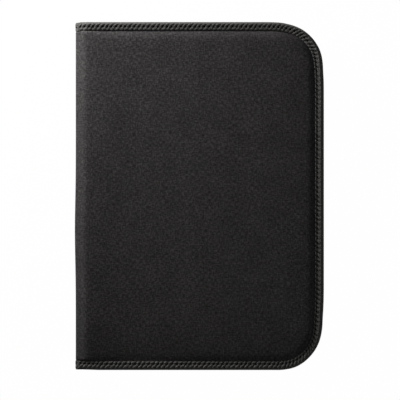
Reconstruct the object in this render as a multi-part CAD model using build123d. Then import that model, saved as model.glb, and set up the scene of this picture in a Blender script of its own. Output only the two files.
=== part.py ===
from build123d import *
import os

# A zippered padfolio, closed and lying on its back cover.
# X runs from the spine to the open edge, Y from foot to head, Z out of the front cover.
# All sizes are in millimetres.

# Sheet that the case is made for, and the room round it
PAPER_WIDTH = 210.0
PAPER_LENGTH = 297.0
PAPER_STACK = 5.0
PAD_SIDE_MARGIN = 20.5      # pad to the open edge of the case
PAD_END_MARGIN = 26.5       # pad to the head and to the foot of the case
FREE_ROOM = 5.5             # for loose sheets between the pad and the front pockets

# Form of the case
CORNER_RADIUS = 47.0        # both corners of a cover at the open edge
SPINE_RADIUS = 8.0          # soft fold between a cover and the spine

# Layers of a cover, from the outside in
FABRIC = 0.8
FOAM = 2.0
BOARD = 1.5
LINING = 0.5
LAYER_CLEARANCE = 0.1       # between layers that only lie on each other
EDGE_CLEARANCE = 0.5        # between the edge of a layer and the seam that closes it in

# Padded crown, from the sewn rim up to the flat face
FOAM_LIP = 0.3              # foam left at its pared edge
CROWN_WIDTH = 9.0
CROWN_STEPS = 3
CROWN_GAP = 0.5             # bare rim between the binding and the crown
LINING_SLOPE = 1.8          # width over which the lining climbs from the rim onto the board

# Edge binding, a tape folded round the rim
BINDING_WIDTH = 8.5         # flap on the outside of a cover
BINDING_TAPE = 0.7
BINDING_ROUND = 1.0         # flat that takes the corners off the folded edge
BINDING_CLEARANCE = 0.1     # between the rim and the inside of the fold
FLAP_GAP = 0.7              # between the inner flap and the zip tape that turns up beside it

# Zip tapes and teeth
ZIP_INSET = 8.0             # middle of the standing tape, in from the outline
ZIP_TAPE = 0.6
ZIP_END_GAP = 5.0           # fold line to the end stop
BEAD_THICKNESS = 1.6        # corded edge of the tape
BEAD_HEIGHT = 1.4
BEAD_GAP = 1.0              # corded edge to the middle plane between the tapes
TOOTH_PITCH = 3.0
TOOTH_CLEARANCE = 0.2       # between meshed teeth
TOOTH_TAPER = 0.2
TOOTH_THICKNESS = 2.4
TOOTH_REACH = 0.8           # tip past the middle plane
STOP_LENGTH = 2.5
STOP_GAP = 0.2              # end stop to the middle plane

# Zip slider and pull
SLIDER_LENGTH = 11.0
SLIDER_PLATE = 1.0
SLIDER_FLANGE = 1.0
SLIDER_FLARE = 0.9          # how far the shoulders stand out beyond the narrow end
SLIDER_SHOULDER = 2.4       # shoulders, back from the leading end
SLIDER_CLEARANCE = 0.35
SLIDER_ROUND = 0.8
WEDGE_LENGTH = 3.4          # wedge that parts the teeth
WEDGE_CLEARANCE = 0.15      # wedge and side flanges to the corded edges
BRIDGE_SPAN = 4.8
BRIDGE_WIDTH = 2.0
BRIDGE_BAR = 0.9
PULL_LENGTH = 28.0
PULL_WIDTH = 7.0
PULL_NECK = 5.2             # width at the bar that hangs in the bridge
PULL_THICKNESS = 1.2
PULL_EYE = 5.4              # bar to the far side of the eye
PULL_CLEARANCE = 0.15
PULL_ROUND = 2.4
GRIP_LENGTH = 9.0
GRIP_WIDTH = 2.6
GRIP_MARGIN = 2.6           # hole to the free end of the pull

# Pen loop in the gutter
PEN_RADIUS = 5.25
PEN_WALL = 0.9
PEN_LOOP_WIDTH = 25.0
PEN_LOOP_Y = 37.5
PEN_LOOP_OFFSET = 4.4       # fold line to the middle of the loop
PEN_HEADROOM = 2.0          # loop to the lining of the front cover
PEN_TAB_WIDTH = 8.4
PEN_TAB = 0.7

# Writing pad and its sleeve in the back cover
PAD_CARD = 1.0
PAD_GAP = 0.95              # pen loop to the edge of the pad
HEAD_TAPE = 0.4
HEAD_TAPE_DEPTH = 20.0      # down the face of the pad
SLEEVE = 0.6
SLEEVE_TOP = 20.0
SLEEVE_SIDE = 0.4           # room beside the card
POCKET_MARGIN = 0.3         # lining shoulder to the sewn edge of a pocket
POCKET_LEFT_GAP = 9.0       # fold line to the sewn edge of a pocket

# Pockets in the front cover
DOCUMENT_PANEL = 0.7
DOCUMENT_ROOM = 0.5
DOCUMENT_TOP = 40.0
DOCUMENT_SEAM = 4.0
CARD_POCKET_WIDTH = 96.0
CARD_POCKET_HEIGHT = 54.0
CARD_POCKET_PANEL = 0.5
CARD_ROOM = 0.4
CARD_SEAM = 2.5
CARD_POCKET_X = -48.0
CARD_POCKET_TOP = 24.0
CARD_POCKET_STEP = 68.0     # upper card pocket to lower card pocket

# Levels of a cover that follow, measured from its outer face
RIM_DROP = FOAM - FOAM_LIP
LINING_RIM_Z = RIM_DROP + FABRIC
TAPE_Z = LINING_RIM_Z + LINING
FLAP_Z = TAPE_Z + ZIP_TAPE
BOARD_Z = FABRIC + FOAM
LINING_Z = BOARD_Z + BOARD
INSIDE_Z = LINING_Z + LINING
PEN_Z = INSIDE_Z + PEN_WALL + PEN_RADIUS
PEN_TOP_Z = PEN_Z + PEN_RADIUS + PEN_WALL
SLEEVE_Z = INSIDE_Z + PAD_CARD + LAYER_CLEARANCE
PAPER_Z = SLEEVE_Z + SLEEVE + LAYER_CLEARANCE
PAPER_TOP_Z = PAPER_Z + PAPER_STACK
POCKET_FACE_Z = INSIDE_Z + DOCUMENT_ROOM + DOCUMENT_PANEL
CARD_FACE_Z = POCKET_FACE_Z + CARD_ROOM + CARD_POCKET_PANEL

# Insets from the outline of a cover
RIM_INSET = BINDING_TAPE + BINDING_CLEARANCE
CROWN_FOOT = BINDING_WIDTH + CROWN_GAP
CROWN_TOP = CROWN_FOOT + CROWN_WIDTH
LINING_FOOT = max(CROWN_FOOT, ZIP_INSET + BEAD_THICKNESS / 2) + EDGE_CLEARANCE
LINING_SHOULDER = LINING_FOOT + LINING_SLOPE
FOAM_EDGE = max(CROWN_FOOT + FABRIC, LINING_FOOT + LINING) + EDGE_CLEARANCE
BOARD_EDGE = LINING_SHOULDER + LINING + EDGE_CLEARANCE
POCKET_EDGE = LINING_SHOULDER + POCKET_MARGIN

# Whole case, about the middle of its footprint
GUTTER = PEN_LOOP_OFFSET + PEN_RADIUS + PEN_WALL + PAD_GAP
CASE_WIDTH = SPINE_RADIUS + GUTTER + PAPER_WIDTH + PAD_SIDE_MARGIN
CASE_HEIGHT = PAPER_LENGTH + 2 * PAD_END_MARGIN
CASE_DEPTH = max(PAPER_TOP_Z + FREE_ROOM + CARD_FACE_Z, PEN_TOP_Z + PEN_HEADROOM + INSIDE_Z)
MID_Z = CASE_DEPTH / 2
HALF_HEIGHT = CASE_HEIGHT / 2
OPEN_X = CASE_WIDTH / 2
SPINE_X = -CASE_WIDTH / 2
FOLD_X = SPINE_X + SPINE_RADIUS
SPINE_RUN = CASE_DEPTH - 2 * SPINE_RADIUS
LAYER_LEFT = FOLD_X + EDGE_CLEARANCE
PEN_X = FOLD_X + PEN_LOOP_OFFSET
PAD_LEFT = FOLD_X + GUTTER
POCKET_LEFT = FOLD_X + POCKET_LEFT_GAP

# Zip and slider
BEAD_TOP_Z = MID_Z - BEAD_GAP
BEAD_FOOT_Z = BEAD_TOP_Z - BEAD_HEIGHT
STOP_X = FOLD_X + ZIP_END_GAP
TAPE_END_X = STOP_X + STOP_LENGTH
TOOTH_WIDTH = TOOTH_PITCH / 2 - TOOTH_CLEARANCE
SLIDER_X = TAPE_END_X + SLIDER_CLEARANCE + SLIDER_LENGTH / 2
CHANNEL = TOOTH_THICKNESS / 2 + SLIDER_CLEARANCE
PLATE_TOP = CHANNEL + SLIDER_PLATE
PULL_AXIS = PLATE_TOP + PULL_CLEARANCE + PULL_THICKNESS / 2
BRIDGE_INSIDE = PULL_AXIS + PULL_THICKNESS / 2 + PULL_CLEARANCE


def front(shape):
    """The front cover's copy of a piece of the back cover."""
    return mirror(shape, about=Plane.XY.offset(MID_Z))


def both_ends(shape):
    """A piece at the head of the case together with its twin at the foot."""
    return Compound(children=[*shape.solids(), *mirror(shape, about=Plane.XZ).solids()])


def slab(low, high):
    """A straight block between two opposite corners."""
    size = [b - a for a, b in zip(low, high)]
    middle = [(a + b) / 2 for a, b in zip(low, high)]
    return Pos(*middle) * Box(*size)


def cover_outline(inset, left=FOLD_X):
    """Plan of a cover: square at the fold, rounded at the two open corners."""
    right = OPEN_X - inset
    top = HALF_HEIGHT - inset
    plan = Pos((left + right) / 2, 0) * Rectangle(right - left, 2 * top)
    return fillet(plan.vertices().sort_by(Axis.X)[-2:], CORNER_RADIUS - inset)


def stacked(sections, left=FOLD_X):
    """Solid through cover plans, each given as its inset and its level."""
    return loft([Pos(0, 0, z) * cover_outline(inset, left) for inset, z in sections], ruled=True)


def crown(level=0.0, spread=0.0):
    """Insets and levels of the padded edge, from its foot on the rim to the flat face."""
    steps = [step / CROWN_STEPS for step in range(CROWN_STEPS + 1)]
    return [(CROWN_FOOT + spread + CROWN_WIDTH * t, RIM_DROP * (1 - t) ** 2 + level) for t in steps]


def rim_path(inset, left):
    """The edge of a cover from the head of the spine round to its foot."""
    top = HALF_HEIGHT - inset
    right = OPEN_X - inset
    corners = [(left, top), (right, top), (right, -top), (left, -top)]
    return FilletPolyline(*corners, radius=CORNER_RADIUS - inset)


def rim_plane(left):
    """Section plane at the start of the edge: its x runs inwards, its y up from the outer face."""
    return Plane(origin=(left, HALF_HEIGHT, 0), x_dir=(0, -1, 0), z_dir=(-1, 0, 0))


# Covers

def outer_fabric():
    """Padded face of a cover, dropping over its crown to a flat rim."""
    rim = extrude(Pos(0, 0, RIM_DROP) * cover_outline(RIM_INSET), FABRIC)
    dome = stacked([(CROWN_FOOT, RIM_DROP + FABRIC), *crown()])
    inner = crown(FABRIC, FABRIC)
    mouth = (inner[0][0], inner[0][1] + FABRIC)
    return rim + dome - stacked([mouth, *inner], left=FOLD_X - FABRIC)


def foam_pad():
    """Foam under the padded face, pared thin along the rim."""
    face = crown(FABRIC + LAYER_CLEARANCE, FOAM_EDGE - CROWN_FOOT)
    return stacked([(FOAM_EDGE, BOARD_Z), *face], left=LAYER_LEFT)


def stiffener_board():
    return extrude(Pos(0, 0, BOARD_Z) * cover_outline(BOARD_EDGE, LAYER_LEFT), BOARD)


def lining():
    """Lining over the board, with a flat rim that is sewn into the edge."""
    rim = extrude(Pos(0, 0, LINING_RIM_Z) * cover_outline(RIM_INSET), LINING)
    raised = stacked([(LINING_FOOT, LINING_RIM_Z), (LINING_FOOT, TAPE_Z), (LINING_SHOULDER, INSIDE_Z)])
    foot = LINING_FOOT + LINING
    shoulder = LINING_SHOULDER + LINING
    below = (foot, LINING_RIM_Z - LINING)
    hollow = [below, (foot, LINING_RIM_Z), (shoulder, LINING_Z)]
    return rim + raised - stacked(hollow, left=FOLD_X - LINING)


def binding_section():
    """Tape folded round the rim, with the corners taken off its bight."""
    low = RIM_DROP - BINDING_TAPE
    high = FLAP_Z + BINDING_TAPE
    flap = ZIP_INSET - ZIP_TAPE / 2 - FLAP_GAP
    points = [
        (BINDING_WIDTH, low), (0, low), (0, high), (flap, high),
        (flap, FLAP_Z), (BINDING_TAPE, FLAP_Z), (BINDING_TAPE, RIM_DROP), (BINDING_WIDTH, RIM_DROP),
    ]
    section = make_face(Polyline(*points, close=True))
    bight = section.vertices().sort_by(Axis.X)[:2]
    return chamfer(bight, BINDING_ROUND)


def edge_binding():
    return sweep(rim_plane(FOLD_X) * binding_section(), path=rim_path(0, FOLD_X))


# Folds and spine, which carry the layers of the covers round the back

def fold_sector(y, drop, thickness, spine_drop):
    """Quarter ring across a fold: depths below the outer face at the cover and at the spine."""
    plane = Plane(origin=(FOLD_X, y, SPINE_RADIUS), x_dir=(-1, 0, 0), z_dir=(0, 1, 0))
    out_x, out_z = SPINE_RADIUS - spine_drop, SPINE_RADIUS - drop
    in_x, in_z = out_x - thickness, out_z - thickness
    outer = EllipticalCenterArc((0, 0), out_x, out_z, start_angle=270, arc_size=90)
    inner = EllipticalCenterArc((0, 0), in_x, in_z, start_angle=270, arc_size=90)
    ends = [Line((0, -out_z), (0, -in_z)), Line((out_x, 0), (in_x, 0))]
    return plane * make_face([outer, inner, *ends])


def along_height(stations, section):
    """Solid through sections at the stations, given as inset and drop, at both ends of the case."""
    foot = [section(inset - HALF_HEIGHT, drop) for inset, drop in stations]
    head = [section(HALF_HEIGHT - inset, drop) for inset, drop in reversed(stations)]
    return loft(foot + head, ruled=True)


def fabric_stations():
    return [(RIM_INSET, RIM_DROP), *crown()]


def lining_stations():
    return [(RIM_INSET, LINING_RIM_Z), (LINING_FOOT, LINING_RIM_Z), (LINING_SHOULDER, LINING_Z)]


def fold_fabric():
    return along_height(fabric_stations(), lambda y, drop: fold_sector(y, drop, FABRIC, drop))


def fold_lining():
    return along_height(lining_stations(), lambda y, drop: fold_sector(y, drop, LINING, LINING_RIM_Z))


def fold_binding():
    axis = Axis((FOLD_X, 0, SPINE_RADIUS), (0, 1, 0))
    return both_ends(revolve(rim_plane(FOLD_X) * binding_section(), axis, revolution_arc=90))


def spine_section(y, drop):
    middle = SPINE_X + drop + FABRIC / 2
    plane = Plane(origin=(middle, y, MID_Z), x_dir=(1, 0, 0), z_dir=(0, 1, 0))
    return plane * Rectangle(FABRIC, SPINE_RUN)


def spine_fabric():
    return along_height(fabric_stations(), spine_section)


def spine_layer(depth, thickness, inset, gap):
    """Flat strip in the spine, that deep below its outer face."""
    low = (SPINE_X + depth, inset - HALF_HEIGHT, SPINE_RADIUS + gap)
    high = (SPINE_X + depth + thickness, HALF_HEIGHT - inset, CASE_DEPTH - SPINE_RADIUS - gap)
    return slab(low, high)


def spine_stiffener():
    room = LINING_RIM_Z - FABRIC
    return spine_layer(FABRIC + LAYER_CLEARANCE, room - LAYER_CLEARANCE, CROWN_TOP, EDGE_CLEARANCE)


def spine_lining():
    return spine_layer(LINING_RIM_Z, LINING, RIM_INSET, 0)


def spine_binding():
    plane = Plane(origin=(SPINE_X, HALF_HEIGHT, SPINE_RADIUS), x_dir=(0, -1, 0), z_dir=(0, 0, 1))
    return both_ends(extrude(plane * binding_section(), SPINE_RUN))


# Zip

def zip_tape():
    """Tape that comes out of the binding, turns and stands up to its corded edge."""
    near = ZIP_INSET - ZIP_TAPE / 2
    far = ZIP_INSET + ZIP_TAPE / 2
    bead_near = ZIP_INSET - BEAD_THICKNESS / 2
    bead_far = ZIP_INSET + BEAD_THICKNESS / 2
    points = [
        (RIM_INSET, TAPE_Z), (far, TAPE_Z), (far, BEAD_FOOT_Z), (bead_far, BEAD_FOOT_Z),
        (bead_far, BEAD_TOP_Z), (bead_near, BEAD_TOP_Z), (bead_near, BEAD_FOOT_Z),
        (near, BEAD_FOOT_Z), (near, FLAP_Z), (RIM_INSET, FLAP_Z),
    ]
    section = make_face(Polyline(*points, close=True))
    return sweep(rim_plane(TAPE_END_X) * section, path=rim_path(0, TAPE_END_X))


def tooth():
    """Moulded tooth on the corded edge of the lower tape, about the middle plane."""
    root = (TOOTH_WIDTH + TOOTH_TAPER) / 2
    tip = (TOOTH_WIDTH - TOOTH_TAPER) / 2
    points = [(-root, -BEAD_GAP), (root, -BEAD_GAP), (tip, TOOTH_REACH), (-tip, TOOTH_REACH)]
    return extrude(Plane.XZ * make_face(Polyline(*points, close=True)), TOOTH_THICKNESS / 2, both=True)


def zip_teeth(shape, shift):
    """Teeth at an even pitch along the edge, as far as the wedge of the slider at the foot."""
    path = rim_path(ZIP_INSET, TAPE_END_X)
    start = TOOTH_PITCH + shift
    end = path.length - 2 * SLIDER_CLEARANCE - WEDGE_LENGTH - TOOTH_WIDTH
    count = int((end - start) / TOOTH_PITCH) + 1
    teeth = []
    for number in range(count):
        distance = start + number * TOOTH_PITCH
        place = path.position_at(distance, position_mode=PositionMode.LENGTH)
        run = path.tangent_at(distance, position_mode=PositionMode.LENGTH)
        plane = Plane(origin=(place.X, place.Y, MID_Z), x_dir=run, z_dir=(0, 0, 1))
        teeth.append(plane.location * shape)
    return Compound(children=[solid for each in teeth for solid in each.solids()])


def zip_stops():
    """Stop against the end of a tape, at the head and at the foot."""
    middle = HALF_HEIGHT - ZIP_INSET
    half = BEAD_THICKNESS / 2
    low = (STOP_X, middle - half, BEAD_FOOT_Z - STOP_GAP)
    high = (TAPE_END_X, middle + half, MID_Z - STOP_GAP)
    return both_ends(slab(low, high))


def slider_plane():
    """At the slider: x along the zip, y across it towards the front cover, z outwards."""
    origin = (SLIDER_X, ZIP_INSET - HALF_HEIGHT, MID_Z)
    return Plane(origin=origin, x_dir=(1, 0, 0), z_dir=(0, -1, 0))


def slider_outline():
    """Shield shape, broad across the shoulders where the two tapes run in."""
    narrow = BEAD_GAP + BEAD_HEIGHT + SLIDER_CLEARANCE + SLIDER_FLANGE
    broad = narrow + SLIDER_FLARE
    lead = -SLIDER_LENGTH / 2
    shoulder = lead + SLIDER_SHOULDER
    half = [(lead, broad / 2), (shoulder, broad), (-lead, narrow)]
    points = half + [(x, -y) for x, y in reversed(half)]
    plate = make_face(Polyline(*points, close=True))
    return fillet(plate.vertices(), SLIDER_ROUND)


def zip_slider():
    """Two plates with side flanges, held apart by the wedge between the rows of teeth."""
    outline = slider_outline()
    slot = BEAD_THICKNESS / 2 + WEDGE_CLEARANCE
    rail = BEAD_GAP + BEAD_HEIGHT + SLIDER_CLEARANCE
    body = extrude(outline, PLATE_TOP) - extrude(outline, slot)
    body -= slab((-SLIDER_LENGTH, -rail, 0), (SLIDER_LENGTH, rail, CHANNEL))
    body += mirror(body, about=Plane.XY)
    lead = -SLIDER_LENGTH / 2
    blunt = BEAD_GAP - WEDGE_CLEARANCE
    points = [(lead, -blunt), (lead, blunt), (lead + WEDGE_LENGTH, 0)]
    wedge = extrude(make_face(Polyline(*points, close=True)), CHANNEL + SLIDER_PLATE / 2, both=True)
    return slider_plane() * (body + wedge)


def slider_bridge():
    """Arch on the outer plate that holds the bar of the pull."""
    half = BRIDGE_SPAN / 2
    crest = BRIDGE_INSIDE + BRIDGE_BAR
    foot = half + 1.5 * BRIDGE_BAR
    points = [
        (-foot, PLATE_TOP), (-half, crest), (half, crest), (foot, PLATE_TOP),
        (half, PLATE_TOP), (half, BRIDGE_INSIDE), (-half, BRIDGE_INSIDE), (-half, PLATE_TOP),
    ]
    profile = make_face(Polyline(*points, close=True))
    crest_corners = profile.vertices().group_by(Axis.Y)[-1]
    arch = extrude(Plane.XZ * fillet(crest_corners, BRIDGE_BAR / 2), BRIDGE_WIDTH / 2, both=True)
    return slider_plane() * arch


def zip_pull():
    """Tapered tab with an eye round the bridge, hung on a round bar, and a hole to grip."""
    half_eye = BRIDGE_WIDTH / 2 + 2 * PULL_CLEARANCE
    points = [(0, -PULL_NECK / 2), (PULL_LENGTH, -PULL_WIDTH / 2), (PULL_LENGTH, PULL_WIDTH / 2), (0, PULL_NECK / 2)]
    tab = make_face(Polyline(*points, close=True))
    tab = fillet(tab.vertices().sort_by(Axis.X)[-2:], PULL_ROUND)
    tab -= Pos(PULL_EYE / 2, 0) * Rectangle(PULL_EYE, 2 * half_eye)
    grip_x = PULL_LENGTH - GRIP_MARGIN - GRIP_LENGTH / 2
    tab -= Pos(grip_x, 0) * SlotOverall(GRIP_LENGTH, GRIP_WIDTH)
    plate = extrude(tab, PULL_THICKNESS / 2, both=True)
    bar = Rot(X=90) * Cylinder(PULL_THICKNESS / 2, PULL_NECK)
    return slider_plane() * Pos(0, 0, PULL_AXIS) * (plate + bar)


# Pad, sleeve and pen loop in the back cover

def pad_backing_card():
    half = PAPER_LENGTH / 2
    return slab((PAD_LEFT, -half, INSIDE_Z), (PAD_LEFT + PAPER_WIDTH, half, INSIDE_Z + PAD_CARD))


def pad_paper_block():
    half = PAPER_LENGTH / 2
    return slab((PAD_LEFT, -half, PAPER_Z), (PAD_LEFT + PAPER_WIDTH, half, PAPER_TOP_Z))


def pad_head_tape():
    """Tape over the head of the pad, with the glued layer that holds the paper to its card."""
    head = PAPER_LENGTH / 2
    start = head - HEAD_TAPE_DEPTH
    right = PAD_LEFT + PAPER_WIDTH
    face = slab((PAD_LEFT, start, PAPER_TOP_Z), (right, head + HEAD_TAPE, PAPER_TOP_Z + HEAD_TAPE))
    edge = slab((PAD_LEFT, head, INSIDE_Z), (right, head + HEAD_TAPE, PAPER_TOP_Z))
    glue = slab((PAD_LEFT, start, INSIDE_Z + PAD_CARD), (right, head, PAPER_Z))
    return face + edge + glue


def pocket_plan(inset, top, left):
    """Plan of a pocket that fills the foot of a cover up to a straight mouth."""
    plan = cover_outline(inset, left)
    keep = Pos(0, top - HALF_HEIGHT) * Rectangle(2 * CASE_WIDTH, CASE_HEIGHT)
    return plan & keep


def pad_sleeve():
    """Panel sewn to the lining round the foot of the pad, raised over the backing card."""
    half = PAPER_LENGTH / 2
    right = PAD_LEFT + PAPER_WIDTH
    flange = extrude(Pos(0, 0, INSIDE_Z) * pocket_plan(POCKET_EDGE, SLEEVE_TOP, POCKET_LEFT), SLEEVE)
    room_low = (PAD_LEFT - SLEEVE_SIDE, -half - SLEEVE_SIDE, INSIDE_Z)
    room_high = (right + SLEEVE_SIDE, SLEEVE_TOP, SLEEVE_Z)
    wall_low = (room_low[0] - SLEEVE, room_low[1] - SLEEVE, INSIDE_Z)
    wall_high = (room_high[0] + SLEEVE, SLEEVE_TOP, SLEEVE_Z + SLEEVE)
    return flange + slab(wall_low, wall_high) - slab(room_low, room_high)


def pen_loop():
    """Elastic loop with the flat tab by which it is sewn to the lining."""
    ring = Circle(PEN_RADIUS + PEN_WALL)
    tab_top = INSIDE_Z + PEN_TAB - PEN_Z
    tab_foot = INSIDE_Z - PEN_Z
    tab = Pos(0, (tab_top + tab_foot) / 2) * Rectangle(PEN_TAB_WIDTH, PEN_TAB)
    section = ring + tab - Circle(PEN_RADIUS)
    plane = Plane(origin=(PEN_X, PEN_LOOP_Y, PEN_Z), x_dir=(1, 0, 0), z_dir=(0, -1, 0))
    return extrude(plane * section, PEN_LOOP_WIDTH / 2, both=True)


# Pockets of the front cover, built on the back cover and mirrored

def document_pocket():
    """Panel with sewn edges on three sides, open towards the head."""
    outside = pocket_plan(POCKET_EDGE, DOCUMENT_TOP, POCKET_LEFT)
    room_left = POCKET_LEFT + DOCUMENT_SEAM
    inside = pocket_plan(POCKET_EDGE + DOCUMENT_SEAM, DOCUMENT_TOP, room_left)
    panel = extrude(Pos(0, 0, INSIDE_Z) * outside, DOCUMENT_ROOM + DOCUMENT_PANEL)
    return panel - extrude(Pos(0, 0, INSIDE_Z) * inside, DOCUMENT_ROOM)


def card_pocket(top):
    """Small pocket sewn onto the document pocket, open towards the head."""
    left = CARD_POCKET_X - CARD_POCKET_WIDTH / 2
    right = CARD_POCKET_X + CARD_POCKET_WIDTH / 2
    foot = top - CARD_POCKET_HEIGHT
    room_z = POCKET_FACE_Z + CARD_ROOM
    panel = slab((left, foot, POCKET_FACE_Z), (right, top, CARD_FACE_Z))
    room_low = (left + CARD_SEAM, foot + CARD_SEAM, POCKET_FACE_Z)
    return panel - slab(room_low, (right - CARD_SEAM, top, room_z))


def pieces():
    """Every piece of the case under its own name."""
    made = {}
    shared = {
        "outer_fabric": outer_fabric(),
        "foam_pad": foam_pad(),
        "stiffener_board": stiffener_board(),
        "lining": lining(),
        "edge_binding": edge_binding(),
        "fold_fabric": fold_fabric(),
        "fold_lining": fold_lining(),
        "fold_binding": fold_binding(),
        "zip_tape": zip_tape(),
        "zip_stops": zip_stops(),
    }
    for name, shape in shared.items():
        made["back_" + name] = shape
        made["front_" + name] = front(shape)
    made["back_zip_teeth"] = zip_teeth(tooth(), 0)
    made["front_zip_teeth"] = zip_teeth(mirror(tooth(), about=Plane.XY), TOOTH_PITCH / 2)
    made["spine_fabric"] = spine_fabric()
    made["spine_stiffener"] = spine_stiffener()
    made["spine_lining"] = spine_lining()
    made["spine_binding"] = spine_binding()
    made["zip_slider_body"] = zip_slider()
    made["zip_slider_bridge"] = slider_bridge()
    made["zip_pull_tab"] = zip_pull()
    made["pad_backing_card"] = pad_backing_card()
    made["pad_paper_block"] = pad_paper_block()
    made["pad_head_tape"] = pad_head_tape()
    made["pad_sleeve"] = pad_sleeve()
    made["pen_loop"] = pen_loop()
    made["document_pocket"] = front(document_pocket())
    made["upper_card_pocket"] = front(card_pocket(CARD_POCKET_TOP))
    made["lower_card_pocket"] = front(card_pocket(CARD_POCKET_TOP - CARD_POCKET_STEP))
    return made


os.makedirs("parts", exist_ok=True)
for node, piece in pieces().items():
    export_step(piece, f"parts/{node}.step")
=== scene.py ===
import math
import random

import bmesh
import bpy
import numpy as np
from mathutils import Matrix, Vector

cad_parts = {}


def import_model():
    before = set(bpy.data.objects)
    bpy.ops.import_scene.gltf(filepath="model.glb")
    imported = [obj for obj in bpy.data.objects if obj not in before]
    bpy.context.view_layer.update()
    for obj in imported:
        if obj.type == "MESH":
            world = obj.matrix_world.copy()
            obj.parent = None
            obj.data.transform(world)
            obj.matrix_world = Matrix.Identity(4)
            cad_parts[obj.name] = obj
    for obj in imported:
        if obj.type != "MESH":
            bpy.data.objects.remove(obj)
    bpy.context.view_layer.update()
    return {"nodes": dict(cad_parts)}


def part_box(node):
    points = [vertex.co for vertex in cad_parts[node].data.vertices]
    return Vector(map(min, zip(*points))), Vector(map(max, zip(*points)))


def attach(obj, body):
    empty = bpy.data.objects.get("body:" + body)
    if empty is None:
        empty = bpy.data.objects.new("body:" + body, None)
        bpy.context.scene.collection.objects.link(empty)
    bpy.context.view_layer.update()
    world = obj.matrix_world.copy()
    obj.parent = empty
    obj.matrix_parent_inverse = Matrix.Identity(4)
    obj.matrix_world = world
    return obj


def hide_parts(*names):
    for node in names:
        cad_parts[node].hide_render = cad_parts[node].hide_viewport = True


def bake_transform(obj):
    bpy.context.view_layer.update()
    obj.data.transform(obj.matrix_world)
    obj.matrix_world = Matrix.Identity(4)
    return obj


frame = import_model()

MM = 0.001
NODES = frame["nodes"]
CHANCE = random.Random(7)

# Places read from the frame, in metres
RIM_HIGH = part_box("front_edge_binding")[1]
FOLD_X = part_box("front_outer_fabric")[0].x
SPINE_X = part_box("spine_fabric")[0].x
OPEN_X = RIM_HIGH.x
HALF_HEIGHT = RIM_HIGH.y
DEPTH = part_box("front_outer_fabric")[1].z
MIDDLE = DEPTH / 2
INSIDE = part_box("back_lining")[1].z
SPINE_RADIUS = FOLD_X - SPINE_X
CORNER = 47 * MM
CORNER_X = OPEN_X - CORNER
CORNER_Y = HALF_HEIGHT - CORNER

# Cloth of the covers, where sizes in threes are for the foot, the open edge and the head
FABRIC = 0.6 * MM
SKIN_EDGE = 7.2 * MM  # skin tucked under the binding
CROWN_GAP = 0.45 * MM  # between the lip of the binding and the foot of the padding
CROWN_WIDTHS = (9 * MM, 11 * MM, 18 * MM)  # over which the cloth rises from there
CROWN_POWER = 4.0
DIP_WIDTH = 1.4 * MM  # the same on the spine, where there is no padding
RIM_DROP = 2.1 * MM  # depth of the skin beside the binding
FRONT_RISE = 1.7 * MM  # how far the padding of the front stands proud
RISE_START = 0.4  # where that begins, as a share of the reach of the fold
RISE_REACH = 30 * MM
FOOT_SINK = 2.2 * MM  # how much lower it lies along the foot
FOOT_REACH = 45 * MM
EDGE_HEIGHTS = (-90 * MM, 80 * MM)  # and along the open edge, low down and high up
EDGE_SINKS = (1.0 * MM, 1.8 * MM)
EDGE_REACHES = (22 * MM, 58 * MM)
LOW_DOWN = (0.75, -0.5)  # heights, as shares, from which and to which the next two grow
RIDGE_SIZES = (0.5 * MM, 2.2 * MM)  # swelling of the front cover beside the spine
RIDGE_PLACE = 0.7  # its middle, as a share of the reach of the fold
RIDGE_WIDTH = 17 * MM
STEEP_POWER = 4  # keeps the swelling off the steep part of the fold
HOLLOW_SIZES = (0.7 * MM, 1.4 * MM)  # shallow hollow beside that swelling
HOLLOW_X = -60 * MM
HOLLOW_REACH = 45 * MM
WAVE = 0.1 * MM
SPINE_SHORT = 0.4 * MM  # how much shorter the spine is than the covers, at its foot
HEAD_SHORT = 0.6 * MM  # and on its face at its head
SHORT_START = -98 * MM
BULGE = (0.95 * MM, -35 * MM, 40 * MM)  # of the spine: size, middle height and reach
SPINE_DRAWN_IN = 0.25 * MM  # how far it is drawn in elsewhere
FLAT_COLUMN = 20  # of a cover's grid, counted from the open edge

# Lining
LINING = 0.4 * MM
LINING_EDGE = 1.2 * MM
LINING_CLIMB = (9.5 * MM, 12.2 * MM)  # insets between which it climbs onto the board

# Uneven rim at the open corners: size, middle and reach of each stretch
UNEVEN_INSETS = (16 * MM, 8 * MM)  # where it starts, and where it is full
UNEVEN_DEPTHS = (9 * MM, 4 * MM)
FOOT_DRAWN_IN = (1.4 * MM, -133 * MM, 20 * MM)
HEAD_DRAWN_IN = (0.8 * MM, 131 * MM, 12 * MM)
FOOT_LOWERED = (0.8 * MM, 99 * MM, 12 * MM)
HEAD_LOWERED = (0.7 * MM, 89 * MM, 12 * MM)

# Fold between a cover and the spine: slope at the joins of its stretches, and their lengths
FOLD_SLOPES = (90, 33, 31, 0)
FOLD_LENGTHS = (1.8 * MM, 6.9 * MM, 6.8 * MM)
FOLD_STEPS = 20

# Binding: places in from the outline at the foot, the open edge and the head of a cover
GROOVES = (6.1 * MM, 6.9 * MM, 4.5 * MM)
LIPS = (8.8 * MM, 8.9 * MM, 8.3 * MM)
GROOVE_HALF = (0.95 * MM, 0.45 * MM)  # beside its middle: where a needle hole ends, and is deepest
GROOVE_LIFTS = (0, 0, 0.85 * MM)  # how much shallower the groove is than in the section below
LIFT_SIDES = (1.2, 2.5)  # how fast that fades, towards the edge and towards the lip
LIFT_SPAN = (1.5 * MM, 0.3 * MM)
PUCKERS = (1.9 * MM, 2.4 * MM, 0.75 * MM)
PUCKER_STARTS = (1.3 * MM, 3.1 * MM, 1.9 * MM)
PUCKER_RAMP = 0.9 * MM
PUCKER_END = 1.0 * MM  # width over which they go out at the groove
PUCKER_SIZES = (0.6, 1.4)  # smallest and largest, as shares
PUCKER_SLANT = 0.8  # how far a pucker leans along the seam, as a share of its width
PUCKER_POWER = 0.7
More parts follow.
